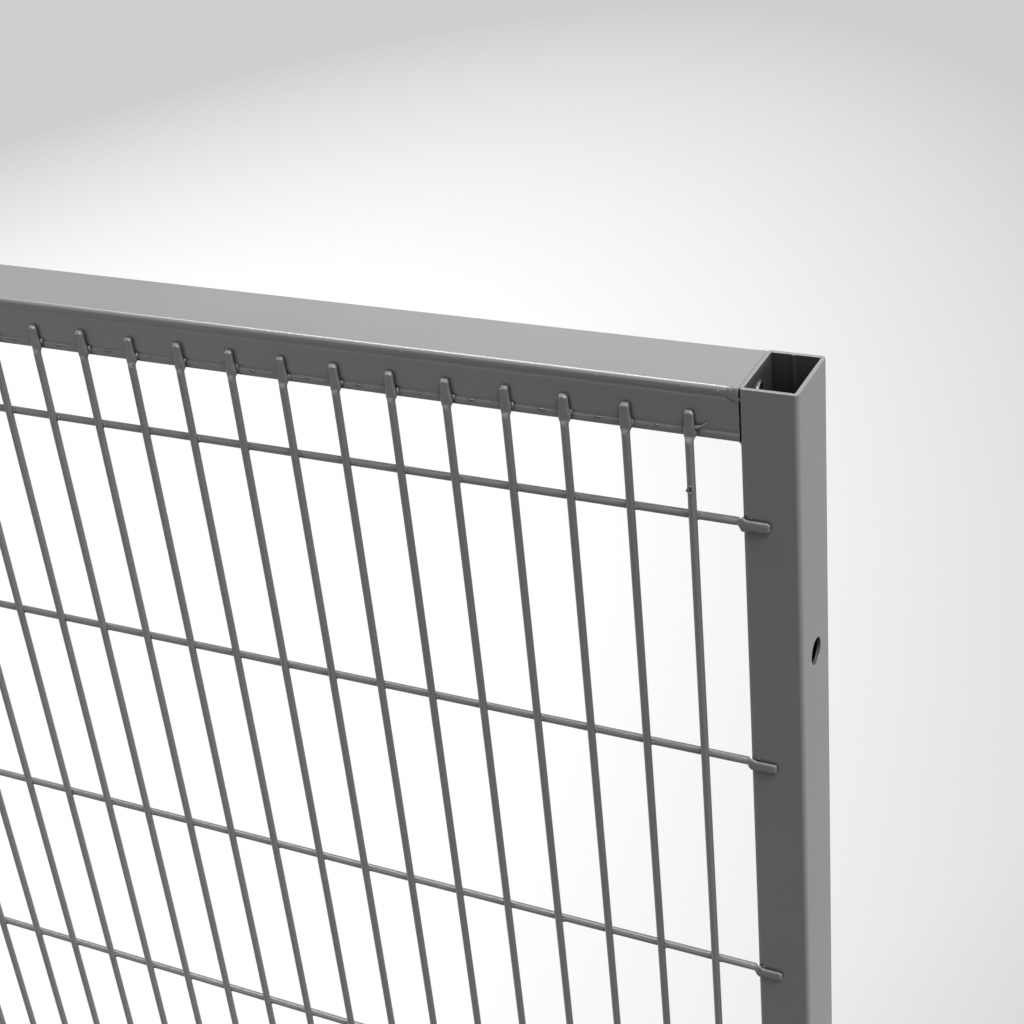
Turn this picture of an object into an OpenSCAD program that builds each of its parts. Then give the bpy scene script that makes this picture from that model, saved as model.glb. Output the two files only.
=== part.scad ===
// Machine guard fence panel: a welded frame of rectangular tube with a mesh of
// resistance-welded wires lapped onto its front face.
//
// Frame of the model: the origin is on the outer side face of the left stile, at
// the middle of its depth and height. +X runs along the panel, +Y from the mesh
// side to the back, +Z up.

/* [Panel] */
// Overall width, over the two stiles
panel_w = 996; // [300:1:1500]
// Overall height, over the stile ends
panel_h = 2000; // [500:1:2400]

/* [Frame tube] */
// Face width of the tube, seen from the front
tube_face = 20; // [16:0.5:40]
// Depth of the tube, front to back
tube_depth = 30; // [20:0.5:50]
// Wall thickness of the tube
tube_wall = 1.5; // [1.2:0.1:3]
// Outside corner radius of the tube
tube_corner = 1.6; // [1:0.1:4]

/* [Mesh] */
// Diameter of every wire
wire_d = 3; // [2.5:0.1:5]
// Spacing of the upright wires
upright_pitch = 22.5; // [15:0.5:60]
// Spacing of the cross wires
cross_pitch = 100; // [40:1:250]
// How far two wires sink into each other at a weld
weld_set = 0.45; // [0.2:0.05:0.8]
// Least clear distance from a stile to the first upright wire
side_margin = 12; // [8:1:40]
// Least clear distance from a rail to the first cross wire
end_margin = 20; // [10:1:80]

/* [Wire ends] */
// How far an upright wire laps onto the rail
rail_lap = 10.5; // [6:0.5:14]
// How far a cross wire laps onto the stile
stile_lap = 10; // [6:0.5:14]
// Thickness of a flattened end
flat_t = 1.5; // [1.2:0.1:2.2]
// Width of a flattened end near its tip
flat_w = 3.7; // [3.2:0.1:5]
// Widest place of an upright wire's flattened end
rail_flare = 4.7; // [4:0.1:7]
// Widest place of a cross wire's flattened end
stile_flare = 5.8; // [4:0.1:8]
// How far that widest place is past the rail's edge
rail_flare_at = 3; // [1.5:0.1:3.5]
// How far that widest place is past the stile's edge
stile_flare_at = 1.2; // [0.5:0.1:3]

/* [Holes] */
// Diameter of the fixing holes in the outer walls of the stiles
fixing_d = 10; // [6:0.5:12]
// Distance of a fixing hole from the end of its stile
fixing_end = 107; // [40:1:200]
// Diameter of the vent holes from the stiles into the rails
vent_d = 10; // [6:0.5:12]

/* [Welds] */
// Leg of the fillet weld in each inside corner
fillet_leg = 1.7; // [1:0.1:3]
// Radius of the bead in the groove at each corner
bead_r = 2; // [1.5:0.1:3]
// Length of that bead, from the panel's edge
bead_len = 4.2; // [3:0.1:8]

/* [Hidden] */
$fn = 48;

coat = "#4c4e50";
front_y = -tube_depth / 2;
inner_corner = max(tube_corner - tube_wall, 0.2);
clear_w = panel_w - 2 * tube_face;
clear_h = panel_h - 2 * tube_face;
rail_z = (panel_h - tube_face) / 2;

// the wires are eight-sided bars with this distance over their flats
wire_sides = 8;
wire_r = wire_d / 2;
bar_r = wire_r / cos(180 / wire_sides);
upright_y = front_y - wire_r;
cross_y = upright_y + wire_d - weld_set;

upright_count = floor((clear_w - 2 * side_margin) / upright_pitch) + 1;
upright_x0 = (panel_w - (upright_count - 1) * upright_pitch) / 2;
cross_count = floor((clear_h - 2 * end_margin) / cross_pitch) + 1;
cross_z0 = -(cross_count - 1) * cross_pitch / 2;
strips = 3;

// shape of a flattened end: spare width of its neck, run of its flare, cut of its tip
end_ease = 0.1;
flare_run = 1.6;
tip_round = 1.2;
// how far a round wire runs on inside its flattened end
end_fuse = 0.5;

function strip_start(i) = floor(i * upright_count / strips);
function upright_x(k) = upright_x0 + k * upright_pitch;
// a strip's side lies halfway between two upright wires, or at the stile's inner face
function strip_x(i) =
    i == 0 ? tube_face :
    i == strips ? panel_w - tube_face :
    upright_x(strip_start(i)) - upright_pitch / 2;

// ---------- frame tubes ----------

// rectangle with true round corners, centred on the origin
module round_rect(w, h, r) {
    square([w - 2 * r, h], center = true);
    square([w, h - 2 * r], center = true);
    for (x = [-1, 1], y = [-1, 1])
        translate([x * (w / 2 - r), y * (h / 2 - r)])
            circle(r = r);
}

// tube along +Z, centred on the origin
module tube(length) {
    linear_extrude(height = length, center = true)
        difference() {
            round_rect(tube_face, tube_depth, tube_corner);
            round_rect(tube_face - 2 * tube_wall, tube_depth - 2 * tube_wall, inner_corner);
        }
}

// hole along X through one wall of a stile, whose outer face is at the given x
module wall_hole(x, z, d) {
    translate([x, 0, z])
        rotate([0, 90, 0])
            cylinder(h = 2 * tube_wall + 1, d = d, center = true);
}

// stile on the left: fixing holes in the outer wall, vents in the inner one
module stile() {
    difference() {
        translate([tube_face / 2, 0, 0])
            tube(panel_h);
        for (s = [-1, 1]) {
            wall_hole(0, s * (panel_h / 2 - fixing_end), fixing_d);
            wall_hole(tube_face, s * rail_z, vent_d);
        }
    }
}

// rail tube between the stiles, at mid height
module rail() {
    translate([panel_w / 2, 0, 0])
        rotate([0, 90, 0])
            tube(clear_w);
}

module to_right() {
    translate([panel_w, 0, 0])
        mirror([1, 0, 0])
            children();
}

module left_stile() { color(coat) stile(); }
module right_stile() { color(coat) to_right() stile(); }
module top_rail() { color(coat) translate([0, 0, rail_z]) rail(); }
module bottom_rail() { color(coat) translate([0, 0, -rail_z]) rail(); }

// ---------- corner welds ----------

// fillet bead in the inside corner under the rail, flush with the flat of the tube
module fillet_bead() {
    translate([tube_face, tube_depth / 2 - tube_corner, rail_z - tube_face / 2])
        rotate([90, 0, 0])
            linear_extrude(height = tube_depth - 2 * tube_corner)
                polygon([[0, 0], [fillet_leg, 0], [0, -fillet_leg]]);
}

// short bead in the groove between the stile's round corner and the rail's end; it
// stands proud in front and stops halfway down the groove
module groove_bead() {
    translate([0, 0, panel_h / 2 - bead_len])
        linear_extrude(height = bead_len)
            intersection() {
                difference() {
                    translate([tube_face + bead_r * 0.2, front_y + bead_r * 0.7])
                        circle(r = bead_r);
                    translate([tube_face / 2, 0])
                        round_rect(tube_face, tube_depth, tube_corner);
                    translate([tube_face, front_y])
                        square(tube_depth);
                }
                translate([tube_face - bead_r, front_y - bead_r])
                    square([2.5 * bead_r, bead_r + tube_corner / 2]);
            }
}

module corner_weld() {
    color(coat) {
        fillet_bead();
        groove_bead();
        mirror([0, 1, 0])
            groove_bead();
    }
}

module weld_top_left() { corner_weld(); }
module weld_top_right() { to_right() corner_weld(); }
module weld_bottom_left() { mirror([0, 0, 1]) corner_weld(); }
module weld_bottom_right() { to_right() mirror([0, 0, 1]) corner_weld(); }

// ---------- wire mesh ----------

// eight-sided bar along +Z with two of its flats facing front and back
module wire(length) {
    rotate([0, 0, 180 / wire_sides])
        cylinder(h = length, r = bar_r, $fn = wire_sides);
}

// half of a flattened end's front outline, as [half width, height] from root to tip
function end_half(lap, flare, flare_at, root) = [
    [wire_r + end_ease, root],
    [wire_r + end_ease, flare_at - flare_run],
    [flare / 2, flare_at],
    [flat_w / 2, flare_at + flare_run],
    [flat_w / 2, lap - tip_round],
    [flat_w / 2 - tip_round * 0.3, lap - tip_round * 0.3],
    [flat_w / 2 - tip_round, lap]
];

// Flattened wire end. The wire comes up along +Z, and the edge of the tube that it
// laps is at z = 0. The tube's front face is at y = 0 and the wire's axis at y = axis.
// The end is what its outline from the front and its outline from the side have in
// common. Its back clears the tube's round corner along the tangent at 45 degrees.
module flat_end(lap, flare, flare_at, axis) {
    back = axis + wire_r;
    front = axis - wire_r;
    knee = tube_corner * (2 - sqrt(2));
    step = knee - (axis + wire_r) / 2;
    half = end_half(lap, flare, flare_at, end_root(axis));
    intersection() {
        rotate([90, 0, 0])
            linear_extrude(height = 4 * wire_d, center = true)
                polygon(concat(half, [for (i = [len(half) - 1 : -1 : 0]) [-half[i][0], half[i][1]]]));
        rotate([90, 0, 90])
            linear_extrude(height = 2 * flare, center = true)
                polygon(concat(
                    [[front, end_root(axis)], [front, step - abs(front + flat_t)], [-flat_t, step],
                     [-flat_t, lap], [0, lap], [0, knee]],
                    back > 0 ? [[back, knee - back]] : [],
                    [[back, end_root(axis)]]
                ));
    }
}

// height at which the round wire ends and its flattened end begins
function end_root(axis) =
    tube_corner * (2 - sqrt(2)) - max(abs(axis - wire_r + flat_t) + (axis + wire_r) / 2, axis + wire_r) - 1;

// upright wire number k with an end on each rail
module upright(k) {
    axis = upright_y - front_y;
    length = clear_h + 2 * (end_root(axis) + end_fuse);
    translate([upright_x(k), upright_y, -length / 2])
        wire(length);
    for (s = [0, 1])
        mirror([0, 0, s])
            translate([upright_x(k), front_y, clear_h / 2])
                flat_end(rail_lap, rail_flare, rail_flare_at, axis);
}

// end of a cross wire on the right stile
module cross_end() {
    translate([panel_w - tube_face, front_y, 0])
        rotate([0, 90, 0])
            flat_end(stile_lap, stile_flare, stile_flare_at, cross_y - front_y);
}

// cross wire across strip i, with an end on the stile that the strip meets
module cross_wire(i) {
    root = end_root(cross_y - front_y) + end_fuse;
    x0 = strip_x(i) - (i == 0 ? root : 0);
    x1 = strip_x(i + 1) + (i == strips - 1 ? root : 0);
    translate([x0, cross_y, 0])
        rotate([0, 90, 0])
            wire(x1 - x0);
    if (i == 0)
        translate([panel_w, 0, 0])
            mirror([1, 0, 0])
                cross_end();
    if (i == strips - 1)
        cross_end();
}

// one upright strip of the mesh, its wires fused where they cross
module mesh_strip(i) {
    color(coat)
        union() {
            for (k = [strip_start(i) : strip_start(i + 1) - 1])
                upright(k);
            for (j = [0 : cross_count - 1])
                translate([0, 0, cross_z0 + j * cross_pitch])
                    cross_wire(i);
        }
}

module mesh_left() { mesh_strip(0); }
module mesh_middle() { mesh_strip(1); }
module mesh_right() { mesh_strip(2); }

left_stile();
right_stile();
top_rail();
bottom_rail();
mesh_left();
mesh_middle();
mesh_right();
weld_top_left();
weld_top_right();
weld_bottom_left();
weld_bottom_right();
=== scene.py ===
"""Looks of a machine guard fence panel, built round the packed CAD frame.

Every surface is worked out in millimetres in the frame of the CAD model: the origin is on the outer side
face of the left stile, +X runs along the panel, +Y from the mesh side to the back, and +Z up.
"""

import math

import bmesh
import bpy
import numpy as np
from bpy.props import FloatProperty, FloatVectorProperty, IntProperty, PointerProperty
from mathutils import Matrix, Vector


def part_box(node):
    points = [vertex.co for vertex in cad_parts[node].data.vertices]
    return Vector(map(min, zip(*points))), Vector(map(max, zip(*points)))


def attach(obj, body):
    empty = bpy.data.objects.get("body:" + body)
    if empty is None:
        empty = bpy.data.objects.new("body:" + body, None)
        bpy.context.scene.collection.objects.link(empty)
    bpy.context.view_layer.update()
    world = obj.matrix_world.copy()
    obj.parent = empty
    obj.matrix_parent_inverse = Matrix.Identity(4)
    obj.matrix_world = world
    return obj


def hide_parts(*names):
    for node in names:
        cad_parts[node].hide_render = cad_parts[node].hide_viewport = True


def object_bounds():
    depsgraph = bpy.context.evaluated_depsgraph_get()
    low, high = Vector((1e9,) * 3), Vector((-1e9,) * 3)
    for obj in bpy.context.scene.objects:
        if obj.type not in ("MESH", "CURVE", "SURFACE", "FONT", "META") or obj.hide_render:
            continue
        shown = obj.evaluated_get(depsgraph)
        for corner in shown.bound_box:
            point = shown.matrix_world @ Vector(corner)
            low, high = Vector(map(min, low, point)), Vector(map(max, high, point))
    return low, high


bl_info = {
    "name": "Machine Guard Fence Panel",
    "version": (1, 0, 0),
    "blender": (4, 5, 0),
    "location": "View3D > Sidebar > Guard Panel",
    "description": "Builds the coated tubes, wires and welds of a guard fence panel, and a plain studio",
    "category": "Object",
}

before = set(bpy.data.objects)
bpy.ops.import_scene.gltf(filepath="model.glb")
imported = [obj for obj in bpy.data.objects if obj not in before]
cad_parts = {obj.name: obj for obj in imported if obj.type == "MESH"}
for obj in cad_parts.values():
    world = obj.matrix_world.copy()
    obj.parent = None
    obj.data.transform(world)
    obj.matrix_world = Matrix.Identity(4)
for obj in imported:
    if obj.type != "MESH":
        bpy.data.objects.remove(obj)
CAD_BOX = [list(corner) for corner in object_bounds()]

MM = 0.001
MERGE = 1e-7  # metres within which two points are one
SEAT = 0.06  # millimetres that a flattened wire end is sunk into the tube

# places taken from the CAD nodes, in millimetres
STILE_LO, STILE_HI = (np.array(corner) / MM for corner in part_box("left_stile"))
RAIL_LO, RAIL_HI = (np.array(corner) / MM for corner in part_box("top_rail"))
PANEL_W = CAD_BOX[1][0] / MM
PANEL_H = STILE_HI[2] - STILE_LO[2]
TUBE_FACE = STILE_HI[0] - STILE_LO[0]
TUBE_DEPTH = STILE_HI[1] - STILE_LO[1]
FRONT = STILE_LO[1]


def linear(code):
    """Scene linear colour of an sRGB hex code: c/12.92 up to 0.04045, above it ((c + 0.055)/1.055) to the
    2.4."""
    channels = [int(code[i:i + 2], 16) / 255 for i in (1, 3, 5)]
    return tuple(c / 12.92 if c <= 0.04045 else ((c + 0.055) / 1.055) ** 2.4 for c in channels)


def length(name, description, default):
    """A length that a user sets, with its default given in millimetres."""
    return FloatProperty(
        name=name, description=description, default=default * MM, min=0, unit="LENGTH", subtype="DISTANCE"
    )


def colour(name, description, code):
    """A colour that a user sets, with its default given as an sRGB hex code."""
    return FloatVectorProperty(
        name=name, description=description, default=linear(code), size=3, min=0, max=1, subtype="COLOR"
    )


def factor(name, description, default, top=1.0):
    """A plain number from 0 to top."""
    return FloatProperty(
        name=name, description=description, default=default, min=0, max=top, subtype="FACTOR"
    )


class GuardFrameSizes(bpy.types.PropertyGroup):
    """Sizes of the frame tube and of the holes in it"""

    wall: length("Wall", "Wall thickness of the tube", 1.5)
    corner: length("Corner", "Outside corner radius of the tube", 1.6)
    inner_corner: length("Inner corner", "Inside corner radius of the tube", 0.3)
    cut_edge: length("Cut edge", "Radius that the coat gives a sawn or drilled edge", 0.22)
    roll_mark: length(
        "Rolling mark", "Depth of the shallow hollow that the rolls leave beside a rail's corners", 0.19
    )
    stile_mark: length("Stile rolling mark", "Depth of the same hollow beside a stile's corners", 0.05)
    roll_place: length("Rolling mark from edge", "Distance of that hollow from the tube's edge", 3.7)
    seam: length("Weld seam", "Height of the tube's own weld seam, inside its back wall", 0.5)
    fixing: length("Fixing hole", "Diameter of the fixing holes in the outer walls of the stiles", 10)
    fixing_end: length("Fixing hole from end", "Distance of a fixing hole from the end of its stile", 107)
    vent: length("Vent", "Diameter of the vent holes from the stiles into the rails", 10)
    vent_lip: length("Vent lip", "Height of the lip that the drill left round a vent, inside the stile", 1.2)


class GuardMeshSizes(bpy.types.PropertyGroup):
    """Sizes of the wires and of their flattened ends"""

    wire: length("Wire", "Diameter of every wire", 3)
    uprights: IntProperty(
        name="Upright wires", description="How many upright wires there are", default=42, min=2
    )
    upright_pitch: length("Upright pitch", "Spacing of the upright wires", 22.5)
    crosses: IntProperty(name="Cross wires", description="How many cross wires there are", default=20, min=2)
    cross_pitch: length("Cross pitch", "Spacing of the cross wires", 100)
    weld_set: length("Weld set", "How far two wires sink into each other at a weld", 0.45)
    rail_lap: length("Rail lap", "How far an upright wire laps onto the rail", 10.5)
    stile_lap: length("Stile lap", "How far a cross wire laps onto the stile", 9.9)
    flat: length("Flattened thickness", "Thickness of a flattened wire end", 1.5)
    scatter: length("Scatter", "How far an upright wire strays sideways from its place", 0.3)


class GuardWeldSizes(bpy.types.PropertyGroup):
    """Sizes of the welds and of the specks in the coat"""

    fillet: length("Fillet leg", "Leg of the hollow fillet weld in each inside corner", 1.7)
    ripple: length("Ripple", "Spacing of the ripples on a weld bead", 1.5)
    patch: length("Patch", "Length along the rail of the dressed weld at each corner", 3.8)
    patch_drop: length("Patch drop", "How far down the front face the dressed weld reaches", 4.7)
    rise: length("Rise", "How far the dressed weld stands out of the rail", 0.16)
    nugget: length("Nugget", "How far the squeezed metal of a crossing stands out beside the upright", 0.9)
    nibs: IntProperty(
        name="Specks", description="How many specks of dust the coat has caught", default=90, min=1
    )


class GuardCoatColours(bpy.types.PropertyGroup):
    """Colours and gloss of the powder coat"""

    deep: colour("Deep", "Coat where it lies thick", "#686868")
    thin: colour("Thin", "Coat where it lies thin", "#6e6e6e")
    roughness: factor("Roughness", "Roughness of the coat between its smoothest and roughest places", 0.25)
    peel: length("Orange peel", "Size of the dimples that the molten powder leaves", 1.1)
    # painted shade: within this distance of another surface the coat's colour is darkened
    gap: length("Gap", "Width of a gap that the spray hardly reaches into", 2.2)


class GuardStudioSettings(bpy.types.PropertyGroup):
    """Light, floor and camera of the studio"""

    floor: colour("Floor", "Colour of the floor", "#737373")
    key: factor("Overhead light", "Strength of the light above, where 1 shows a colour as it is", 1.1, 10)
    high: factor(
        "High light", "Strength of the light from the right, high up and a little in front", 1.5, 10
    )
    side: factor("Side light", "Strength of the light from the right", 0.58, 10)
    fill: factor("Fill", "Strength of the light from all round", 0.05, 10)
    focal: FloatProperty(
        name="Focal length", description="Focal length on a sensor 36 mm wide", default=65.6, min=1,
        unit="CAMERA",
    )
    distance: length("Distance", "Distance of the camera from the corner it looks at", 661.3)
    roll: FloatProperty(
        name="Roll", description="Turn of the camera about its line of sight", default=math.radians(-6.09),
        subtype="ANGLE",
    )


# ---------- surfaces ----------


def mm(value):
    """A length property, which Blender holds in metres, in millimetres."""
    return value / MM


def smooth(x, start, stop):
    """Rise from 0 at start to 1 at stop: t squared times (3 - 2t), with t the share of the way, kept from
    0 to 1."""
    t = np.clip((x - start) / (stop - start), 0, 1)
    return t * t * (3 - 2 * t)


def hill(x, middle, spread):
    """Bell of height 1: e to the minus ((x - middle)/spread) squared."""
    return np.exp(-(((x - middle) / spread) ** 2))


def grid_quads(rows, cols, close_rows=False, close_cols=False):
    """Corner numbers of the quads between neighbours in a grid of rows times cols points."""
    r = np.arange(rows if close_rows else rows - 1)[:, None]
    c = np.arange(cols if close_cols else cols - 1)[None, :]
    up, on = (r + 1) % rows, (c + 1) % cols
    return np.stack([r * cols + c, r * cols + on, up * cols + on, up * cols + c], -1).reshape(-1, 4)


def repeated(faces, count, points_each):
    """The same faces for count copies of a shape whose copies have points_each points, one copy after
    another."""
    return (faces[None] + points_each * np.arange(count)[:, None, None]).reshape(-1, faces.shape[1])


def bars(centre, across, deep, half_w, half_t, power, splay, sides=20):
    """Bars carried along their centre lines. A section is a superellipse: at angle u its point lies
    half_w |cos u|^(2/power) along the vector across and half_t |sin u|^(2/power) along deep, each with
    the sign of the cosine or sine, and its width grows by the share splay from the middle to the deep
    side and shrinks by it to the other. centre is bars x stations x 3, the rest bars x stations. A face
    closes each end."""
    u = np.arange(sides) * (2 * np.pi / sides)
    shape = 2 / power[..., None]
    a = half_w[..., None] * np.sign(np.cos(u)) * np.abs(np.cos(u)) ** shape
    deepness = np.sign(np.sin(u)) * np.abs(np.sin(u)) ** shape
    a = a * (1 + splay[..., None] * deepness)
    b = half_t[..., None] * deepness
    points = centre[:, :, None, :] + a[..., None] * np.array(across) + b[..., None] * np.array(deep)
    count, stations = centre.shape[:2]
    ring = np.arange(sides)[None]
    caps = np.concatenate([ring, ring + (stations - 1) * sides])
    each = stations * sides
    return points.reshape(-1, 3), [
        repeated(grid_quads(stations, sides, close_cols=True), count, each), repeated(caps, count, each)
    ]


def lumps(centre, reach, rough, rng, sides=10):
    """Rounded lumps: a sphere's points at angles u round and v up, times the three reaches of each lump,
    with every point moved in or out by a random share of up to rough. centre and reach are lumps x 3. A
    small face closes each pole."""
    u = np.arange(sides) * (2 * np.pi / sides)
    v = np.radians([-72, -36, 0, 36, 72])
    ball = np.stack(np.broadcast_arrays(
        np.cos(v)[:, None] * np.cos(u), np.cos(v)[:, None] * np.sin(u), np.sin(v)[:, None] * np.ones(sides)
    ), -1)
    push = 1 + rough * rng.uniform(-1, 1, (len(centre), len(v), sides, 1))
    points = centre[:, None, None, :] + ball * push * reach[:, None, None, :]
    ring = np.arange(sides)[None]
    caps = np.concatenate([ring, ring + (len(v) - 1) * sides])
    each = len(v) * sides
    return points.reshape(-1, 3), [
        repeated(grid_quads(len(v), sides, close_cols=True), len(centre), each),
        repeated(caps, len(centre), each),
    ]


def outline(half_a, half_b, radius, marks_a, marks_b, sink=0.0, place=1.0, steps=8):
    """Points round a rectangle with round corners. Each quarter is the straight side's marks and then a
    quarter circle, turned by a right angle from the one before. The two sides across the second axis sink
    by a bell of the depth sink at the distance place from each corner, plus a share of that depth over
    the whole stretch between the bells."""
    turn = np.linspace(0, np.pi / 2, steps + 1)
    spread, between = 0.16 * place, 0.4
    points = []
    for quarter in range(4):
        h, k = (half_a, half_b) if quarter % 2 == 0 else (half_b, half_a)
        marks = marks_b if quarter % 2 == 0 else marks_a
        inside = k - np.abs(marks)
        hollow = hill(inside, place, spread) + between * smooth(inside, 0.6 * place, place)
        hollow = quarter % 2 * sink * hollow
        side = np.stack([h - hollow, marks], -1)
        arc = np.stack([h - radius + radius * np.cos(turn), k - radius + radius * np.sin(turn)], -1)
        c, s = math.cos(quarter * math.pi / 2), math.sin(quarter * math.pi / 2)
        points.append(np.concatenate([side, arc]) @ np.array([[c, s], [-s, c]]))
    return np.concatenate(points)


WINDOW = 7.5  # half width of the square patch of tube wall that a hole is set in
CELLS = 12  # quads along one side of that patch


def hole_rings(side, along, radius, lip, half_a, wall, edge):
    """The patch of wall round a hole, in rings of points: from the square edge of the patch outside, over
    a rounded rim of radius edge, through the wall, over the lip that the drill pushed up inside and out
    to the square edge inside. A ring's point is the square's point times its share, plus the circle's
    point at the same angle times the rest. The lip is highest at the front and top, where its height is
    lip, by (1 + cos)/2 of the angle from there, squared."""
    t = np.linspace(-WINDOW, WINDOW, CELLS + 1)[:-1]
    full = np.full(CELLS, WINDOW)
    square = np.concatenate([
        np.stack([t, -full], -1), np.stack([full, t], -1), np.stack([-t, full], -1),
        np.stack([-full, -t], -1),
    ])
    angle = np.arctan2(square[:, 1], square[:, 0])
    circle = np.stack([np.cos(angle), np.sin(angle)], -1)
    turn = np.linspace(0, np.pi / 2, 5)
    share = np.concatenate([[1, 0.4, 0], np.zeros(11), [0, 0.4, 1]])
    # the rings are wider round the rim outside and round the lip inside
    size = radius + np.concatenate([
        [0, 2 * edge, 1.6 * edge], edge * (1 - np.sin(turn)), [0, 0, 0.12, 0.3, 0.42, 0.6, 0.9, 0, 0]
    ])
    rise = lip * ((1 + np.cos(angle - np.radians(140))) / 2) ** 2
    # how far the last rings of the hole and those of the lip lie past the wall
    past = np.array([-0.4, 1, 1.12, 1.1, 0.9, 0.4, 0.05])[:, None] * rise
    past[0] -= 0.3
    outside = np.concatenate([[0, 0, 0], edge * (1 - np.cos(turn))])[:, None] + 0 * angle
    depth = np.concatenate([outside, wall + past, np.full((2, len(angle)), wall)])
    share, size = share[:, None, None], size[:, None, None]
    flat = share * square + (1 - share) * size * circle
    a = side * (half_a - depth)
    rings = np.stack([a, flat[..., 0], along + flat[..., 1]], -1)
    return rings, grid_quads(len(depth), len(square), close_cols=True)


def tube(long, sizes, mark, holes=()):
    """A tube along its third axis, as one closed skin. Round the tube runs the section's outline, and
    along it a loop goes up the outside, over the end's rounded edges, down the bore and back, its place
    in the wall going from 0 outside to 1 in the bore. The seam is a bell-shaped ridge in the bore. The
    rolling marks are as deep as mark, and each hole is (side, place along, radius, height of the lip
    inside)."""
    half_a, half_b, half = TUBE_FACE / 2, TUBE_DEPTH / 2, long / 2
    wall, edge = mm(sizes.wall), mm(sizes.cut_edge)
    place = mm(sizes.roll_place)
    beside = place * np.linspace(0.55, 1.45, 13)
    seam_marks, window_marks = np.linspace(-2.6, 2.6, 14), np.linspace(-WINDOW, WINDOW, CELLS + 1)
    marks_a = np.concatenate([beside - half_a, seam_marks, half_a - beside[::-1]])
    marks_b = np.concatenate([beside - half_b, window_marks, half_b - beside[::-1]])
    outer = outline(half_a, half_b, mm(sizes.corner), marks_a, marks_b, mark, place)
    inner = outline(half_a - wall, half_b - wall, mm(sizes.inner_corner), marks_a, marks_b)
    seam_place, seam_spread, near = -1, 0.55, 0.01
    on_seam = (inner[:, 1] > half_b - wall - near) * hill(inner[:, 0], seam_place, seam_spread)
    inner = inner - np.stack([0 * on_seam, mm(sizes.seam) * on_seam], -1)
    patches = [hole[1] + window_marks for hole in holes]
    rows = np.unique(np.round(np.concatenate([[edge - half, half - edge], *patches]), 6))
    turn = np.linspace(0, np.pi / 2, 4)[1:]
    share = edge / wall * (1 - np.cos(turn))
    rise = half - edge + edge * np.sin(turn)
    over = np.concatenate([share, 1 - share[::-1]])
    w = np.concatenate([0 * rows, over, 0 * rows + 1, over[::-1]])
    z = np.concatenate([rows, rise, rise[::-1], rows[::-1], -rise, -rise[::-1]])
    flat = outer + w[:, None, None] * (inner - outer)
    points = np.concatenate([flat, np.broadcast_to(z[:, None, None], (*flat.shape[:2], 1))], -1)
    faces = grid_quads(len(z), len(outer), close_rows=True, close_cols=True)
    points = points.reshape(-1, 3)
    middle = points[faces].mean(1)
    kept = np.ones(len(faces), bool)
    skins, start = [], len(points)
    shells = [points]
    for side, along, radius, lip in holes:
        on_wall = (side * middle[:, 0] > half_a - wall - near) & (np.abs(middle[:, 1]) < WINDOW)
        kept &= ~(on_wall & (np.abs(middle[:, 2] - along) < WINDOW))
        ring, quads = hole_rings(side, along, radius, lip, half_a, wall, edge)
        shells.append(ring.reshape(-1, 3))
        skins.append(quads + start)
        start += ring.shape[0] * ring.shape[1]
    return np.concatenate(shells), [faces[kept], *skins]


def joined(shapes):
    """Several shapes, each (points, list of face arrays), as one."""
    points, faces, start = [], [], 0
    for p, f in shapes:
        points.append(p)
        faces.extend(part + start for part in f)
        start += len(p)
    return np.concatenate(points), faces


def add_piece(name, shape, material, replaced=(), flats=False, bore=None):
    """A mesh object at the origin from points in millimetres. Points at one place are merged and faces
    turned outwards. With flats, wide flat faces keep their own normals. The faces on the walls of the
    bore, a box given by its middle and half size, get the bore's own material, and those inside the wall,
    in its holes, the drilled edge's."""
    points, faces = shape
    mesh = bpy.data.meshes.new(name)
    mesh.from_pydata((points * MM).tolist(), [], [face for part in faces for face in part.tolist()])
    work = bmesh.new()
    work.from_mesh(mesh)
    bmesh.ops.remove_doubles(work, verts=work.verts, dist=MERGE)
    bmesh.ops.recalc_face_normals(work, faces=work.faces)
    work.to_mesh(mesh)
    work.free()
    mesh.shade_smooth()
    mesh.materials.append(material)
    if bore:
        middle, half = (np.array(part) for part in bore)
        mesh.materials.append(bore_coat())
        mesh.materials.append(drilled_coat())
        centres = np.empty(3 * len(mesh.polygons))
        mesh.polygons.foreach_get("center", centres)
        sizes, near, clear = bpy.context.scene.guard_frame, 0.02, 2
        short = half - np.abs(centres.reshape(-1, 3) / MM - middle)
        within = (short > -near).all(1) & (short.min(1) < mm(sizes.seam) + near)
        in_wall = (short[:, 0] < -0.05) & (short[:, 0] > 0.15 - mm(sizes.wall))
        drilled = in_wall & (short[:, 1] > clear) & (short[:, 2] > clear)
        mesh.polygons.foreach_set("material_index", (within + 2 * drilled).astype(np.int32))
    piece = bpy.data.objects.new(name, mesh)
    bpy.context.scene.collection.objects.link(piece)
    if flats:
        weigh = piece.modifiers.new("flat faces stay flat", "WEIGHTED_NORMAL")
        weigh.weight = 100
    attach(piece, "root")
    if replaced:
        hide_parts(*replaced)
    return piece


# ---------- materials ----------


def node(tree, kind, inputs=(), **settings):
    """Adds a node, sets its own settings, and sets or links its inputs by name or number."""
    made = tree.nodes.new(kind)
    for key, value in settings.items():
        setattr(made, key, value)
    for key, value in dict(inputs).items():
        if isinstance(value, bpy.types.NodeSocket):
            tree.links.new(value, made.inputs[key])
        else:
            made.inputs[key].default_value = value
    return made


def per_mm(size):
    """Scale of a pattern, in repeats per metre, whose features are size millimetres apart."""
    return 1 / (size * MM)


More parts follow.
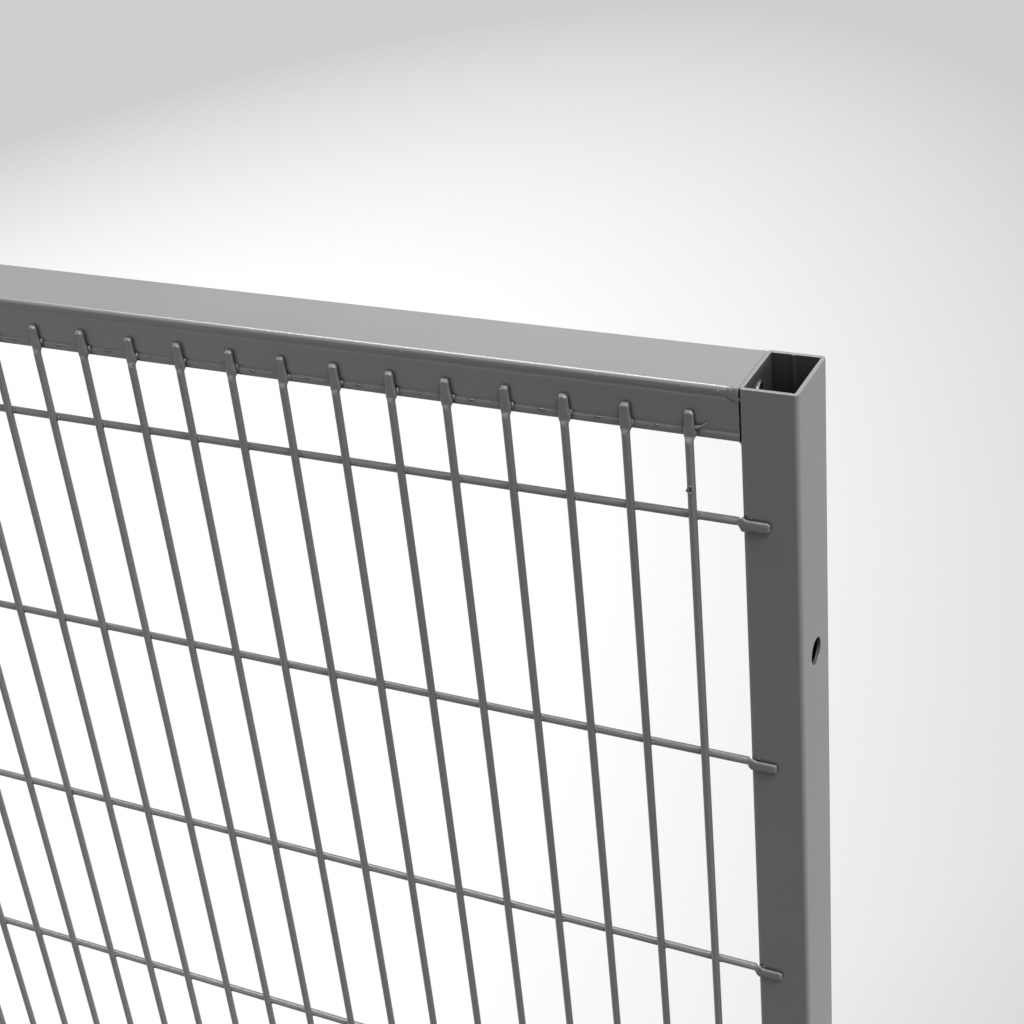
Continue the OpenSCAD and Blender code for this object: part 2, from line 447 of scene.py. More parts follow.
def powder_coat(name, coat, peel_depth, grain_depth, worn=0.0, pale=1.0, inside=False):
    """Satin polyester powder coat, sprayed dry and melted in an oven. The melt leaves an even colour,
    soft light and dark clouds where it lies thinner or thicker and low dimples that make a highlight's
    edge waver, and painted shade darkens the colour in the narrow gaps and corners near other surfaces.
    Pale is 1 for a full coat, and less where dark metal shows through, and in the bore it also holds
    painted shade; inside a stile painted shade darkens the bore from the open end to two centimetres in.
    Worn is added to the roughness."""
    if name in bpy.data.materials:
        return bpy.data.materials[name]
    material = bpy.data.materials.new(name)
    material.use_nodes = True
    tree = material.node_tree
    tree.nodes.clear()
    place = node(tree, "ShaderNodeTexCoord").outputs["Object"]
    # clouds a hand wide
    cloud = node(tree, "ShaderNodeTexNoise", {"Vector": place, "Scale": per_mm(60), "Detail": 1})
    share = node(tree, "ShaderNodeMapRange", {0: cloud.outputs[0], 1: 0.1, 2: 0.9, 3: 0, 4: 1})
    tint = node(tree, "ShaderNodeMix", {
        0: share.outputs[0], 6: (*coat.deep, 1), 7: (*coat.thin, 1)
    }, data_type="RGBA")
    # painted shade: the colour darkens where another surface is near, in gaps and corners
    gap = node(tree, "ShaderNodeAmbientOcclusion", {"Distance": coat.gap}, samples=8)
    painted_shade_and_pale = node(tree, "ShaderNodeMapRange", {
        0: gap.outputs["AO"], 1: 0.35, 2: 0.85, 3: 0.25 * pale, 4: pale
    })
    if inside:
        # painted shade in the bore: darker from the open end to two centimetres in, and as dark deeper
        height = node(tree, "ShaderNodeSeparateXYZ", {0: place}).outputs["Z"]
        from_middle = node(tree, "ShaderNodeMath", {0: height}, operation="ABSOLUTE")
        end, deepest_bore_shade = PANEL_H / 2 * MM, 0.08
        painted_bore_shade = node(tree, "ShaderNodeMapRange", {
            0: from_middle.outputs[0], 1: end - 20 * MM, 2: end - 1 * MM, 3: deepest_bore_shade, 4: 1
        })
        painted_shade_and_pale = node(tree, "ShaderNodeMath", {
            0: painted_shade_and_pale.outputs[0], 1: painted_bore_shade.outputs[0]
        }, operation="MULTIPLY")
    tint = node(tree, "ShaderNodeVectorMath", {
        0: tint.outputs[2], 1: painted_shade_and_pale.outputs[0]
    }, operation="MULTIPLY")
    rough, swing = coat.roughness + worn, 0.03
    gloss = node(tree, "ShaderNodeMapRange", {
        0: cloud.outputs[0], 1: 0.1, 2: 0.9, 3: rough - swing, 4: rough + swing
    })
    peel = node(tree, "ShaderNodeTexNoise", {"Vector": place, "Scale": per_mm(mm(coat.peel)), "Detail": 1})
    # the true grain is about 0.1 mm, too fine to show, and is drawn at 0.7 mm
    grain = node(tree, "ShaderNodeTexNoise", {"Vector": place, "Scale": per_mm(0.7), "Detail": 1})
    low = node(tree, "ShaderNodeBump", {
        "Height": peel.outputs[0], "Distance": peel_depth * MM, "Strength": 1
    })
    fine = node(tree, "ShaderNodeBump", {
        "Height": grain.outputs[0], "Distance": grain_depth * MM, "Strength": 1, "Normal": low.outputs[0]
    })
    skin = node(tree, "ShaderNodeBsdfPrincipled", {
        "Base Color": tint.outputs[0], "Roughness": gloss.outputs[0], "Normal": fine.outputs[0], "IOR": 1.5
    })
    node(tree, "ShaderNodeOutputMaterial", {"Surface": skin.outputs[0]})
    return material


def frame_coat():
    """Coat on rolled tube: smooth, with the faintest dimples."""
    return powder_coat("satin_powder_coat_on_tube", bpy.context.scene.guard_coat, 0.004, 0.0005)


def wire_coat():
    """Coat on drawn wire: a little more dimpled than on the tube."""
    return powder_coat("satin_powder_coat_on_wire", bpy.context.scene.guard_coat, 0.006, 0.001)


def weld_coat():
    """Coat on weld metal: uneven, and a little duller."""
    return powder_coat("satin_powder_coat_on_weld", bpy.context.scene.guard_coat, 0.02, 0.003, 0.04)


def bore_coat():
    """Thin overspray on dark mill scale deep in a tube, darkened further by painted shade of the bore:
    nearly black, and dull.
    """
    return powder_coat("mill_scale_and_painted_bore_shade", bpy.context.scene.guard_coat, 0.01, 0.002, 0.2, 0.32, True)


def drilled_coat():
    """Coat on a drilled edge, where it runs thin and dark steel shows through: darker, and less glossy."""
    return powder_coat("thin_coat_on_drilled_edge", bpy.context.scene.guard_coat, 0.01, 0.002, 0.1, 0.5)


def burnt_steel():
    """Burnt steel that shows where the coat has burst: black and matt."""
    return powder_coat("burnt_steel_under_blister", bpy.context.scene.guard_coat, 0.05, 0.01, 0.4, 0.12)


def looked_at(tree):
    """1 for a ray that the camera, a reflection or glass sends, and 0 for one that only gathers light."""
    ray = node(tree, "ShaderNodeLightPath").outputs
    mirrored = node(tree, "ShaderNodeMath", {
        0: ray["Is Camera Ray"], 1: ray["Is Glossy Ray"]
    }, operation="MAXIMUM")
    return node(tree, "ShaderNodeMath", {
        0: mirrored.outputs[0], 1: ray["Is Transmission Ray"]
    }, operation="MAXIMUM").outputs[0]


# ---------- wires ----------


def end_stations(lap, tip):
    """Places along a wire's end, in millimetres past the tube's edge: few on the round wire, close
    together where it is squeezed flat and at its tip."""
    return np.concatenate([
        [-9, -7.5, -6, -5, -4.2], np.linspace(-3.4, 2.6, 25), np.linspace(3.2, lap - tip - 0.4, 8),
        lap - tip * np.cos(np.linspace(0, np.pi / 2, 8)) ** 1.4,
    ])


def lapped_end(s, wire_r, axis, flat, lap, flare, body, lean, joggle, squeeze, count, rng):
    """Shape of count flattened wire ends, one row each, s millimetres past the edge of the tube. The axis
    runs from its depth in front of the tube's face to half the flat thickness as s passes the joggle's
    two limits. The half thickness falls from the radius to half the flat thickness between the squeeze's
    limits. The half width rises to the body's, with a bell of (half width, place, spread) for the flare,
    whose middle leans sideways by lean. Towards the tip the width shrinks by up to a third and the
    section gets rounder, and over the last stretch the axis and the half thickness fall together, so that
    the front slopes down while the back stays on the tube."""
    def vary(low, high):
        return rng.uniform(low, high, (count, 1))

    tip, slope = 0.7, 0.36
    place = s + vary(-0.2, 0.2)
    flatten = smooth(place, *squeeze)
    depth = axis + (flat / 2 - SEAT - axis) * smooth(place, *joggle)
    half_t = wire_r + (flat / 2 * vary(0.92, 1.08) - wire_r) * flatten
    half_w = wire_r + (body * vary(0.95, 1.06) - wire_r) * flatten
    bulge = hill(place, flare[1] + vary(-0.3, 0.3), flare[2]) * flatten
    half_w = half_w + (flare[0] - body) * vary(0.7, 1.25) * bulge
    taper = smooth(s, lap - 1.2, lap)
    half_w = half_w * (1 - vary(0.2, 0.34) * taper ** 1.5)
    middle = lean * vary(0.6, 1.3) * bulge + vary(-0.25, 0.25) * taper
    power, splay = 2 + (2.4 - 1.2 * taper) * flatten, 0.02 * flatten
    drop = slope * np.clip(s - (lap - tip), 0, None)
    return depth - drop, half_w, half_t - drop, power, splay, middle


def both_ends(shape, shape_low):
    """Joins the values along the lower end, from its tip, to those along the upper end, up to its tip."""
    pairs = zip(np.broadcast_arrays(*shape_low), np.broadcast_arrays(*shape))
    return [np.concatenate([low[:, ::-1], high], 1) for low, high in pairs]


# ---------- operators ----------


class GUARD_OT_stile_tubes(bpy.types.Operator):
    """Builds the two stiles, open at both ends, with their fixing holes and vents"""

    bl_idname = "guard.stile_tubes"
    bl_label = "Stile Tubes"

    def execute(self, context):
        sizes = context.scene.guard_frame
        fixing, vent = mm(sizes.fixing) / 2, mm(sizes.vent) / 2
        high, rail = PANEL_H / 2 - mm(sizes.fixing_end), (PANEL_H - TUBE_FACE) / 2
        for name, outer, x in (
            ("left_stile", -1, TUBE_FACE / 2), ("right_stile", 1, PANEL_W - TUBE_FACE / 2)
        ):
            holes = [(outer, z, fixing, 0.1) for z in (-high, high)]
            holes += [(-outer, z, vent, mm(sizes.vent_lip)) for z in (-rail, rail)]
            points, faces = tube(PANEL_H, sizes, mm(sizes.stile_mark), holes)
            wall, rim = mm(sizes.wall), mm(sizes.cut_edge)
            half = TUBE_FACE / 2 - wall, TUBE_DEPTH / 2 - wall, PANEL_H / 2 - rim
            shape = points + [x, 0, 0], faces
            add_piece(name + "_tube", shape, frame_coat(), [name], True, ((x, 0, 0), half))
        return {"FINISHED"}


class GUARD_OT_rail_tubes(bpy.types.Operator):
    """Builds the two rails between the stiles"""

    bl_idname = "guard.rail_tubes"
    bl_label = "Rail Tubes"

    def execute(self, context):
        sizes = context.scene.guard_frame
        points, faces = tube(PANEL_W - 2 * TUBE_FACE, sizes, mm(sizes.roll_mark))
        points = points[:, [2, 1, 0]] + [PANEL_W / 2, 0, 0]
        for name, side in (("top_rail", 1), ("bottom_rail", -1)):
            moved = points * [1, 1, side] + [0, 0, side * (PANEL_H - TUBE_FACE) / 2]
            add_piece(name + "_tube", (moved, faces), frame_coat(), [name], flats=True)
        return {"FINISHED"}


def upright_places(mesh):
    """Sideways place of each upright wire: evenly spaced about the panel's middle, each strayed a little."""
    count = mesh.uprights
    stray = np.random.default_rng(11).uniform(-1, 1, count) * mm(mesh.scatter)
    return PANEL_W / 2 + (np.arange(count) - (count - 1) / 2) * mm(mesh.upright_pitch) + stray


def cross_places(mesh):
    """Height of each cross wire: evenly spaced about the panel's middle."""
    return (np.arange(mesh.crosses) - (mesh.crosses - 1) / 2) * mm(mesh.cross_pitch)


class GUARD_OT_upright_wires(bpy.types.Operator):
    """Builds the upright wires, flattened where they lap the rails"""

    bl_idname = "guard.upright_wires"
    bl_label = "Upright Wires"

    def execute(self, context):
        mesh = context.scene.guard_mesh
        r, lap, count = mm(mesh.wire) / 2, mm(mesh.rail_lap), mesh.uprights
        rng = np.random.default_rng(21)
        laps = lap + rng.uniform(-0.35, 0.2, (count, 1)), lap + rng.uniform(-0.35, 0.2, (count, 1))
        s = end_stations(lap, 0.9)
        # an upright's end is squeezed less than a cross wire's, and the last one's is nearly as flat
        thick = mm(mesh.flat) + np.append(rng.uniform(0.4, 0.8, count - 1), 0.2)[:, None]
        ends = [lapped_end(
            s, r, r, thick, lap, (2.15, 2.2, 2.4), 1.62, 0.12, (-1.4, 1.2), (-0.6, 1.0), count, rng
        ) for _ in laps]
        depth, half_w, half_t, power, splay, middle = both_ends(ends[0], ends[1])
        edge, steady = PANEL_H / 2 - TUBE_FACE, 4
        stretch = [s + np.clip((s - steady) / (lap - steady), 0, None) * (each - lap) for each in laps]
        z = np.concatenate([-(edge + stretch[1])[:, ::-1], edge + stretch[0]], 1)
        x = upright_places(mesh)[:, None] + middle
        shape = bars(np.stack([x, FRONT - depth, z], -1), (1, 0, 0), (0, 1, 0), half_w, half_t, power, splay)
        meshes = ["mesh_left", "mesh_middle", "mesh_right"]
        add_piece("upright_wires", shape, wire_coat(), meshes, flats=True)
        return {"FINISHED"}


class GUARD_OT_cross_wires(bpy.types.Operator):
    """Builds the cross wires behind the upright ones, joggled forward and flattened where they lap the
    stiles"""

    bl_idname = "guard.cross_wires"
    bl_label = "Cross Wires"

    def execute(self, context):
        mesh = context.scene.guard_mesh
        r, lap, count = mm(mesh.wire) / 2, mm(mesh.stile_lap), mesh.crosses
        rng = np.random.default_rng(31)
        s = end_stations(lap, 0.9)
        axis = mm(mesh.weld_set) - r
        ends = [lapped_end(
            s, r, axis, mm(mesh.flat), lap, (2.55, 0.6, 0.9), 1.75, 0.12, (-1.9, 0.2), (-0.9, 0.4),
            count, rng
        ) for _ in range(2)]
        depth, half_w, half_t, power, splay, middle = both_ends(ends[0], ends[1])
        edge = PANEL_W / 2 - TUBE_FACE
        x = np.concatenate([-(edge + s)[::-1], edge + s]) + PANEL_W / 2
        x = np.broadcast_to(x, depth.shape)
        z = cross_places(mesh)[:, None] + middle
        shape = bars(np.stack([x, FRONT - depth, z], -1), (0, 0, 1), (0, 1, 0), half_w, half_t, power, splay)
        add_piece("cross_wires", shape, wire_coat(), flats=True)
        return {"FINISHED"}


class GUARD_OT_crossing_welds(bpy.types.Operator):
    """Builds the squeezed metal round each crossing of two wires"""

    bl_idname = "guard.crossing_welds"
    bl_label = "Crossing Welds"

    def execute(self, context):
        mesh, welds = context.scene.guard_mesh, context.scene.guard_welds
        rng = np.random.default_rng(41)
        r = mm(mesh.wire) / 2
        x, z = (part.ravel() for part in np.meshgrid(upright_places(mesh), cross_places(mesh)))
        count = len(x)
        depth = np.full(count, FRONT - mm(mesh.weld_set) / 2)
        astray = rng.uniform(-1, 1, (count, 3)) * [0.15, 0.05, 0.15]
        centre = np.stack([x, depth, z], -1) + astray
        reach = np.array([r + mm(welds.nugget), 0.62, 0.85 * r]) * rng.uniform(0.9, 1.12, (count, 3))
        add_piece("crossing_welds", lumps(centre, reach, 0.05, rng), weld_coat())
        return {"FINISHED"}


def squeezed_out(places, edge, past, beside, hands, most, rng):
    """The lumps of metal squeezed out beside both ends of the wires at these places, one row at a time:
    their places across the wires and along them, and the factors for their three reaches, at random from
    0.7 to most times a size. A lump lies past the tube's edge, which is edge from the panel's middle, and
    beside its wire, by random lengths between two limits each. Hands pairs a side of the wire, -1 or 1,
    with a size."""
    for side in (-1, 1):
        for hand, size in hands:
            along = side * (edge + rng.uniform(*past, len(places)))
            across = places + hand * rng.uniform(*beside, len(places))
            yield across, along, size * rng.uniform(0.7, most, (len(places), 3))


class GUARD_OT_end_flash(bpy.types.Operator):
    """Builds the metal squeezed out beside each flattened wire end"""

    bl_idname = "guard.end_flash"
    bl_label = "End Flash"

    def execute(self, context):
        mesh = context.scene.guard_mesh
        rng = np.random.default_rng(51)
        uprights, crosses, rough = upright_places(mesh), cross_places(mesh), 0.16
        edge, side_edge = PANEL_H / 2 - TUBE_FACE, PANEL_W / 2 - TUBE_FACE
        parts = []
        for x, z, size in squeezed_out(
            uprights, edge, (2.1, 3.6), (2.1, 2.5), ((1, 1.0), (-1, 0.45)), 1.25, rng
        ):
            centre = np.stack([x, np.full(len(x), FRONT - 0.1), z], -1)
            parts.append(lumps(centre, size * [0.75, 0.75, 1.35], rough, rng))
        for z, x, size in squeezed_out(
            crosses, side_edge, (1.9, 3.3), (2.2, 2.6), ((-1, 1.0), (1, 0.5)), 1.2, rng
        ):
            centre = np.stack([PANEL_W / 2 + x, np.full(len(z), FRONT - 0.05), z], -1)
            parts.append(lumps(centre, size * [1.3, 0.5, 0.7], rough, rng))
        # one spark of metal stands out from the last upright's top end
        root = np.array([[uprights[-1] + 2.7, FRONT - 0.2, edge + 4.2]])
        parts.append(lumps(root, np.array([[1.1, 0.95, 0.9]]), 0.12, rng, 12))
        along = np.linspace(0, 1, 9)[None]
        spark = np.stack([
            uprights[-1] + 1.8 + 4.6 * along, FRONT - 0.5 - 0.7 * along, edge + 4.2 + 2.6 * along ** 1.6
        ], -1)
        thin = 0.95 - 0.75 * along ** 0.6
        parts.append(bars(spark, (0, 0, 1), (0, 1, 0), thin, thin, 2 + 0 * thin, 0 * thin, 12))
        add_piece("end_flash", joined(parts), weld_coat())
        return {"FINISHED"}


def fillet_bead(welds, rng):
    """Hollow fillet along +Y in the corner of two walls at the origin. Its section is a quarter circle
    that meets both walls, (leg (1 - sin t), leg (1 - cos t)), closed behind by a point inside the metal,
    and along the bead the leg grows and shrinks by a few percent in rounded ripples and tapers at its
    ends, which stop short of the tube's faces."""
    leg, pitch, taper, stop_short = mm(welds.fillet), mm(welds.ripple), 1.2, 1
    half = TUBE_DEPTH / 2 - stop_short
    y = np.linspace(-half, half, 112)
    beat = np.abs(np.sin(np.pi * y / pitch + 0.6 * np.sin(y))) ** 0.7
    wander = np.interp(y, np.linspace(-half, half, 12), rng.uniform(-1, 1, 12))
    size = leg * (0.92 + 0.1 * beat + 0.05 * wander)
    size = size * (1 - 0.55 * (np.clip(np.abs(y) - half + taper, 0, taper) / taper) ** 2)
    t = np.linspace(0, np.pi / 2, 9)
    section = np.stack([1 - np.sin(t), 1 - np.cos(t)], -1)
    section = np.concatenate([section, [[-0.2, -0.2]]])
    flat = size[:, None, None] * section
    points = np.stack([flat[..., 0], np.broadcast_to(y[:, None], flat.shape[:2]), flat[..., 1]], -1)
    ring = np.arange(len(section))[None]
    caps = np.concatenate([ring, ring + (len(y) - 1) * len(section)])
    return points.reshape(-1, 3), [grid_quads(len(y), len(section), close_cols=True), caps]


def dressed_weld(welds, full, rng):
    """Weld dressed over the rail's rounded front edge, beside the stile. Along the rail e runs from the
    groove at the stile to the weld's far side, and round the edge p runs from the top, over the corner's
    quarter circle, and down the front to a lower edge that rises from the drop at the groove by a smooth
    step. The skin is the rail's outline pushed out by the rise, which falls off steeply at the rim, plus
    a bell at 45 degrees that fills the corner out, less a bell-shaped notch across it, plus a small hump
    beside the groove and faint waves, all times the share full. The rim sinks into the metal."""
    corner = mm(bpy.context.scene.guard_frame.corner)
    rise, reach, drop = mm(welds.rise), mm(welds.patch), mm(welds.patch_drop)
    groove, over_top, rim_width, sunk, notch = 0.3, 0.5, 0.28, 0.05, 2.3
    e = np.concatenate([
        np.linspace(groove, 0.6, 4), np.linspace(0.72, reach - 0.4, 26), reach + np.linspace(-0.3, 0, 6)
    ])[:, None]
    v = np.concatenate([np.linspace(0, 0.08, 5), np.linspace(0.11, 0.9, 30), np.linspace(0.93, 1, 6)])
    arc = corner * np.pi / 2
    low = arc + drop - corner - smooth(e, groove, reach)
    p = v * (low + over_top) - over_top
    angle = np.clip(p / corner, 0, np.pi / 2)
    y = FRONT + corner - corner * np.sin(angle) + np.clip(-p, 0, None)
    z = -corner + corner * np.cos(angle) - np.clip(p - arc, 0, None)
    rim = smooth(e, groove, groove + rim_width) * smooth(e, reach, reach - rim_width)
    rim = rim * smooth(p, -over_top, 2 * rim_width - over_top) * smooth(p, low, low - rim_width)
    filled = 0.4 * hill(angle, np.pi / 4, 0.5)
    out = rise + filled * (1 - 0.9 * hill(e, notch, 0.4)) - 0.14 * hill(e, notch, 0.45)
    hump = 0.16 * hill(e, 0.95, 0.35) * hill(p, 1.0, 0.5)
    waves = 0.03 * np.sin(2.6 * p + rng.uniform(0, 6)) * hill(e, 1.6, 1.2)
    out = full * (out + hump + waves) * rim - sunk * (1 - rim)
    turned = np.sin(angle), np.cos(angle)
    points = np.stack(np.broadcast_arrays(e, y - turned[0] * out, z + turned[1] * out), -1)
    inside = 0.5
    under = np.stack(np.broadcast_arrays(e, y + inside * turned[0], z - inside * turned[1]), -1)
    rows, cols = out.shape
    top, base = grid_quads(rows, cols), grid_quads(rows, cols)[:, ::-1] + rows * cols
    number = np.arange(rows * cols).reshape(rows, cols)
    edge = np.concatenate([number[0], number[1:, -1], number[-1, -2::-1], number[-2:0:-1, 0]])
    after = np.roll(edge, -1)
    sides = np.stack([edge, after, after + rows * cols, edge + rows * cols], -1)
    return np.concatenate([points.reshape(-1, 3), under.reshape(-1, 3)]), [top, base, sides]


class GUARD_OT_corner_welds(bpy.types.Operator):
    """Builds the welds at the four corners of the frame"""

    bl_idname = "guard.corner_welds"
    bl_label = "Corner Welds"

    def execute(self, context):
        welds = context.scene.guard_welds
        rng = np.random.default_rng(61)
        for name, side, up in (
            ("weld_top_left", -1, 1), ("weld_top_right", 1, 1), ("weld_bottom_left", -1, -1),
            ("weld_bottom_right", 1, -1),
        ):
            points, faces = fillet_bead(welds, rng)
            fillet = points * [1, 1, -1] - [0, 0, TUBE_FACE], faces
            tack = lumps(np.array([[0.1, FRONT + 0.95, -4.4]]), np.array([[0.95, 0.6, 0.75]]), 0.06, rng, 14)
            front = [dressed_weld(welds, 1, rng), tack]
            behind = [(p * [1, -1, 1], f) for p, f in (dressed_weld(welds, 0.3, rng), tack)]
            points, faces = joined([fillet, *front, *behind])
            inner = PANEL_W / 2 - TUBE_FACE
            points = points * [-side, 1, up] + [PANEL_W / 2 + side * inner, 0, up * PANEL_H / 2]
            add_piece(name + "_bead", (points, faces), weld_coat(), [name])
        return {"FINISHED"}


class GUARD_OT_coat_specks(bpy.types.Operator):
    """Builds the specks of dust in the coat, its low runs between the wires' ends, and one burst blister"""

    bl_idname = "guard.coat_specks"
    bl_label = "Coat Specks"

    def execute(self, context):
        welds, mesh = context.scene.guard_welds, context.scene.guard_mesh
        rng = np.random.default_rng(71)
        count, corner = welds.nibs, mm(context.scene.guard_frame.corner)
        side = np.where(rng.random(count) < 0.5, 1, -1)
        x = rng.uniform(TUBE_FACE + 5, PANEL_W - TUBE_FACE - 5, count)
        down = np.where(rng.random(count) < 0.4, TUBE_FACE - corner, corner) + rng.normal(0, 0.25, count)
        centre = np.stack([x, np.full(count, FRONT + 0.05), side * (PANEL_H / 2 - down)], -1)
        reach = np.array([0.34, 0.2, 0.24]) * rng.uniform(0.6, 1.3, (count, 1))
        parts = [lumps(centre, reach, 0.1, rng, 8)]
        places = upright_places(mesh)
        between = (places[1:] + places[:-1]) / 2
        many = len(between)
        for side in (-1, 1):
            lift = 3.1 + rng.uniform(-0.15, 0.15, many)
            centre = np.stack([
                between + rng.uniform(-3, 3, many), np.full(many, FRONT + 0.06),
                side * (PANEL_H / 2 - TUBE_FACE + lift)
            ], -1)
            reach = rng.uniform([[0.75, 0.26, 0.26]], [[1.95, 0.35, 0.35]], (many, 3))
            parts.append(lumps(centre, reach, 0.06, rng))
        # the blister's torn rim, on the front of the last upright above its first crossing
        last, crossing, front = places[-1], cross_places(mesh)[-1], FRONT - mm(mesh.wire)
        turn = np.linspace(0, 2 * np.pi, 9, endpoint=False)
        centre = np.stack([
            last + 0.85 * np.cos(turn), front + 0.05 + 0.3 * np.abs(np.cos(turn)),
            crossing + 11.6 + 1.5 * np.sin(turn)
        ], -1)
        parts.append(lumps(centre, rng.uniform(0.28, 0.5, (len(turn), 3)), 0.2, rng, 12))
        beside = np.array([[last - 1.6, FRONT - 1.6, crossing + 10.4]])
        parts.append(lumps(beside, np.array([[0.55, 0.5, 0.6]]), 0.1, rng, 12))
        add_piece("coat_specks", joined(parts), wire_coat())
        burst = np.array([[last + 0.1, front + 0.1, crossing + 11.8]])
        pit = lumps(burst, np.array([[0.42, 0.2, 0.95]]), 0.1, rng, 14)
        add_piece("burst_blister", pit, burnt_steel())
        return {"FINISHED"}


class GUARD_OT_studio(bpy.types.Operator):
    """Sets up the pale floor, the soft light and the camera"""

    bl_idname = "guard.studio"
    bl_label = "Studio"

    def execute(self, context):
        scene, studio = context.scene, context.scene.guard_studio
        scene.view_settings.view_transform = "Standard"
        self.floor(scene, studio)
        self.lights(scene, studio)
        self.world(scene, studio)
        self.camera(scene, studio)
        return {"FINISHED"}

    def floor(self, scene, studio):
        """A flat square of 40 m, half a millimetre under the panel."""
        mesh = bpy.data.meshes.new("floor")
        corner = np.array([[-1, -1, 0], [1, -1, 0], [1, 1, 0], [-1, 1, 0]]) * 20.0
        mesh.from_pydata((corner + [0, 0, CAD_BOX[0][2] - 0.5 * MM]).tolist(), [], [(0, 1, 2, 3)])
        floor = bpy.data.objects.new("floor", mesh)
        scene.collection.objects.link(floor)
        material = bpy.data.materials.new("matt_paper_floor")
        material.use_nodes = True
        tree = material.node_tree
        tree.nodes.clear()
        # painted pool of light: what sees the floor directly or in a reflection sees it brighter by a glow
        # that fades away from a long pool to the left of the panel, and the glow leaves the shadow on the
        # floor
        seen = looked_at(tree)
        place = node(tree, "ShaderNodeTexCoord").outputs["Object"]
        pool_at, near, far = (-1.8, 0, 0), 1.75, 3.13
        from_pool = node(tree, "ShaderNodeVectorMath", {0: place, 1: pool_at}, operation="SUBTRACT")
        squashed = node(tree, "ShaderNodeVectorMath", {
            0: from_pool.outputs[0], 1: (1, 0.43, 0)
        }, operation="MULTIPLY")
        away = node(tree, "ShaderNodeVectorMath", {0: squashed.outputs[0]}, operation="LENGTH")
        pool = node(tree, "ShaderNodeMapRange", {
            0: away.outputs["Value"], 1: near, 2: far, 3: 0.6, 4: 0.2
        })
        # and it is weaker towards the right and the front
        slant = node(tree, "ShaderNodeVectorMath", {0: place, 1: (1, -0.5, 0)}, operation="DOT_PRODUCT")
        shade = node(tree, "ShaderNodeMapRange", {0: slant.outputs["Value"], 1: -0.4, 2: 1.4, 3: 1, 4: 0.25})
        pool = node(tree, "ShaderNodeMath", {0: pool.outputs[0], 1: shade.outputs[0]}, operation="MULTIPLY")
        lift = node(tree, "ShaderNodeMath", {0: seen, 1: pool.outputs[0]}, operation="MULTIPLY")
        painted_glow = node(tree, "ShaderNodeEmission", {"Strength": lift.outputs[0]})
        paper = node(tree, "ShaderNodeBsdfDiffuse", {"Color": (*studio.floor, 1)})
        both = node(tree, "ShaderNodeAddShader", {0: paper.outputs[0], 1: painted_glow.outputs[0]})
        node(tree, "ShaderNodeOutputMaterial", {"Surface": both.outputs[0]})
        mesh.materials.append(material)

    def lights(self, scene, studio):
        """Three wide distant lights, each given by the direction it comes from and the angle it covers."""
        for name, towards, angle, strength in (
            ("overhead_light", (-0.38, 0.1, 0.92), 30, studio.key),
            ("high_light", (0.4, -0.16, 0.9), 40, studio.high),
            ("side_light", (0.98, 0.12, 0.1), 14, studio.side),
        ):
            lamp = bpy.data.lights.new(name, "SUN")
            lamp.angle = math.radians(angle)
            lamp.energy = strength * math.pi
            holder = bpy.data.objects.new(name, lamp)
            holder.rotation_euler = Vector(towards).to_track_quat("Z", "Y").to_euler()
            scene.collection.objects.link(holder)

    def world(self, scene, studio):
        """Light from all round at the fill strength, and white where the camera or a reflection looks."""
        world = bpy.data.worlds.new("studio_air")
        world.use_nodes = True
        tree = world.node_tree
        tree.nodes.clear()
        # what looks far to the left sees it darker
        way = node(tree, "ShaderNodeTexCoord").outputs["Generated"]
        across = node(tree, "ShaderNodeSeparateXYZ", {0: way}).outputs["X"]
        shown = node(tree, "ShaderNodeMapRange", {0: across, 1: -0.72, 2: -0.4, 3: 0.4, 4: 1})
        strength = node(tree, "ShaderNodeMapRange", {
            0: looked_at(tree), 3: studio.fill, 4: shown.outputs[0]
        })
        air = node(tree, "ShaderNodeBackground", {"Strength": strength.outputs[0], "Color": (1, 1, 1, 1)})
        node(tree, "ShaderNodeOutputWorld", {"Surface": air.outputs[0]})
        scene.world = world

    def camera(self, scene, studio):
        """Close to the top right corner, from in front, above and to the right."""
        target = Vector((0.8896, -0.015, 0.94))
        back = Vector((0.4166, -0.7615, 0.4965)).normalized()
        lens = bpy.data.cameras.new("camera")
        lens.sensor_width = 36
        lens.lens = studio.focal
        holder = bpy.data.objects.new("camera", lens)
        turn = back.to_track_quat("Z", "Y").to_matrix() @ Matrix.Rotation(studio.roll, 3, "Z")
        holder.matrix_world = Matrix.Translation(target + back * studio.distance) @ turn.to_4x4()
        scene.collection.objects.link(holder)
        scene.camera = holder


class GUARD_PT_panel(bpy.types.Panel):
    """Sizes, colours and steps of the guard fence panel"""

    bl_idname = "GUARD_PT_panel"
    bl_label = "Guard Panel"
    bl_space_type = "VIEW_3D"
    bl_region_type = "UI"
    bl_category = "Guard Panel"

    def draw(self, context):
        for name, kind in SETTINGS.items():
            box = self.layout.box()
            box.label(text=kind.__doc__)
            for key in kind.__annotations__:
                box.prop(getattr(context.scene, name), key)
        for step in STEPS:
            self.layout.operator(step.bl_idname)


SETTINGS = {
    "guard_frame": GuardFrameSizes,
    "guard_mesh": GuardMeshSizes,
    "guard_welds": GuardWeldSizes,
    "guard_coat": GuardCoatColours,
    "guard_studio": GuardStudioSettings,
}
STEPS = (
    GUARD_OT_studio,
    GUARD_OT_stile_tubes,
    GUARD_OT_rail_tubes,
    GUARD_OT_upright_wires,
    GUARD_OT_cross_wires,
    GUARD_OT_crossing_welds,
    GUARD_OT_end_flash,
    GUARD_OT_corner_welds,
    GUARD_OT_coat_specks,
)


def register():
    for kind in (*SETTINGS.values(), *STEPS, GUARD_PT_panel):
        bpy.utils.register_class(kind)
    for name, kind in SETTINGS.items():
        setattr(bpy.types.Scene, name, PointerProperty(type=kind))


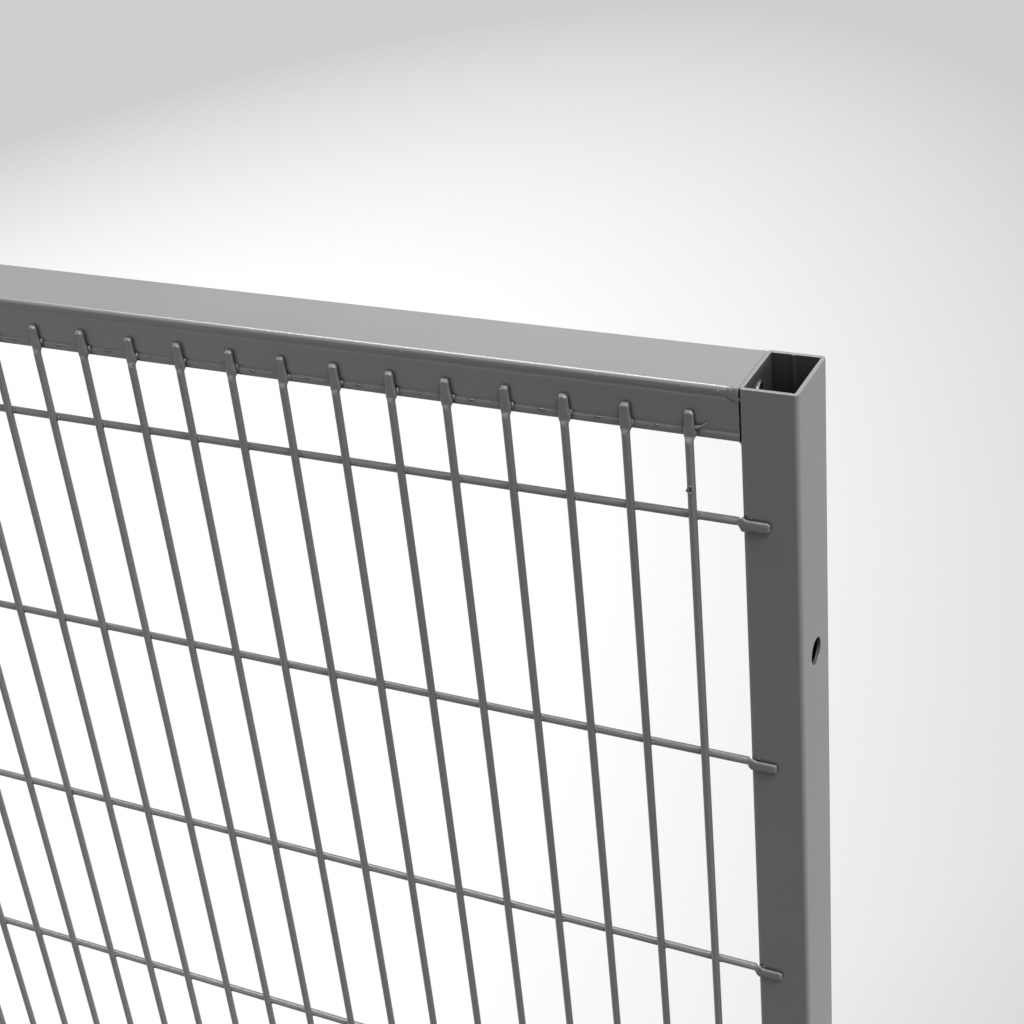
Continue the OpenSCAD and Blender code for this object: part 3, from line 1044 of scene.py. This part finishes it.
def unregister():
    for name in SETTINGS:
        delattr(bpy.types.Scene, name)
    for kind in (GUARD_PT_panel, *STEPS[::-1], *list(SETTINGS.values())[::-1]):
        bpy.utils.unregister_class(kind)


def main():
    """Builds everything."""
    register()
    for step in STEPS:
        group, call = step.bl_idname.split(".")
        getattr(getattr(bpy.ops, group), call)()


if __name__ == "__main__":
    main()
